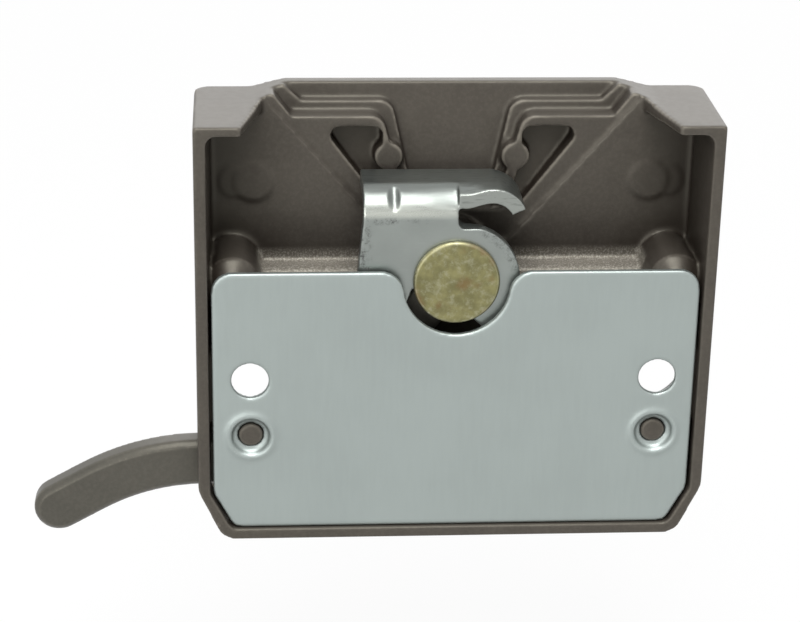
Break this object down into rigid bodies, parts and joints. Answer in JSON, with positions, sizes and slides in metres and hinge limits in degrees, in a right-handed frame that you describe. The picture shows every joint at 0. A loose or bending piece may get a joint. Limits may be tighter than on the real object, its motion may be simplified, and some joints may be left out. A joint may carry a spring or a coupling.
{
  "type": "casement sash lock",
  "caption": "Surface-mounted casement sash lock: deep housing open at the top, back plate, and a side lever that turns a bent hook arm about a pivot rivet.",
  "frame": {"origin": "midway between the two screw holes, on the mounting plane", "axes": "-Y out of the mounting face towards the window frame, +Y into the lock towards its front, +Z towards the open top where the keeper enters, X along the width"},
  "size_m": [0.1009, 0.0208, 0.0667],
  "materials": {
    "bronze_paint": "satin bronze paint on die-cast zinc",
    "galvanised": "matt galvanised sheet",
    "bright_zinc": "bright zinc plating",
    "yellow_zinc": "mottled yellow zinc plating",
    "washer": "natural acetal"
  },
  "bodies": {
    "case": {"housing": "bronze_paint", "back_plate": "galvanised", "pivot_rivet": "yellow_zinc", "friction_washer": "washer"},
    "handle": {"lever": "bronze_paint", "hook_arm": "bright_zinc"}
  },
  "joints": [
    {"name": "lever_turn", "type": "hinge", "parent": "case", "child": "handle", "pos_m": [0, 0.0067, 0.0149], "axis": [0, -1, 0], "range_deg": [0, 40]}
  ]
}
